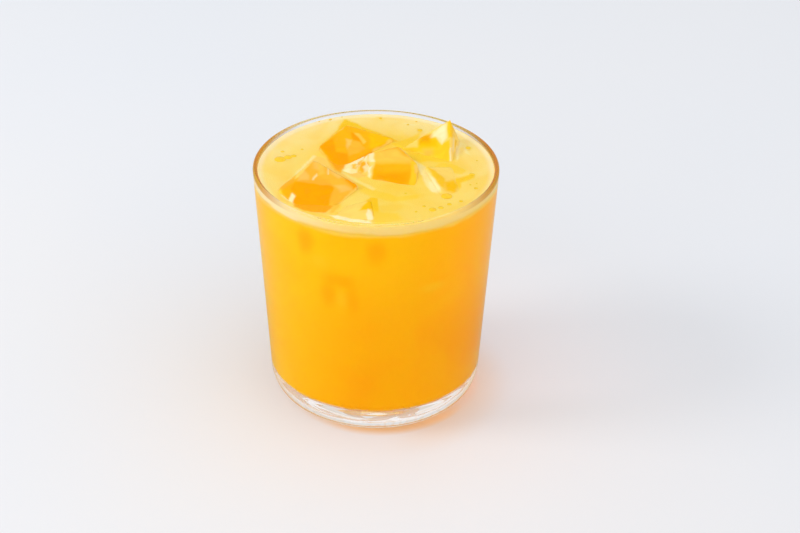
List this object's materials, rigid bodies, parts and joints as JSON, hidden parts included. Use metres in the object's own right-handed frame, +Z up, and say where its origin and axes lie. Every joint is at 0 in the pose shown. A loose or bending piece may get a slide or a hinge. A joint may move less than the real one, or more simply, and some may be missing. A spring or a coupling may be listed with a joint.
{
  "type": "glass of juice",
  "caption": "Tapered round tumbler with a thick base, filled almost to the rim with orange juice, a foam layer and floating ice blocks.",
  "frame": {"origin": "middle of the foot, on the surface the glass stands on", "axes": "+Z up along the glass's axis, -Y towards the pictured side, +X to its right"},
  "size_m": [0.0848, 0.0848, 0.0954],
  "materials": {
    "clear_glass": "clear, polished",
    "orange_juice": "opaque warm yellow-orange liquid",
    "juice_foam": "soft pale yellow foam with small bubbles",
    "ice": "clear wet ice that takes the colour of the juice"
  },
  "bodies": {
    "root": {"glass": "clear_glass", "juice": "orange_juice", "foam": "juice_foam", "ice_front_left": "ice", "ice_back_left": "ice", "ice_middle": "ice", "ice_right": "ice", "ice_back_right": "ice", "ice_front": "ice"}
  },
  "joints": []
}
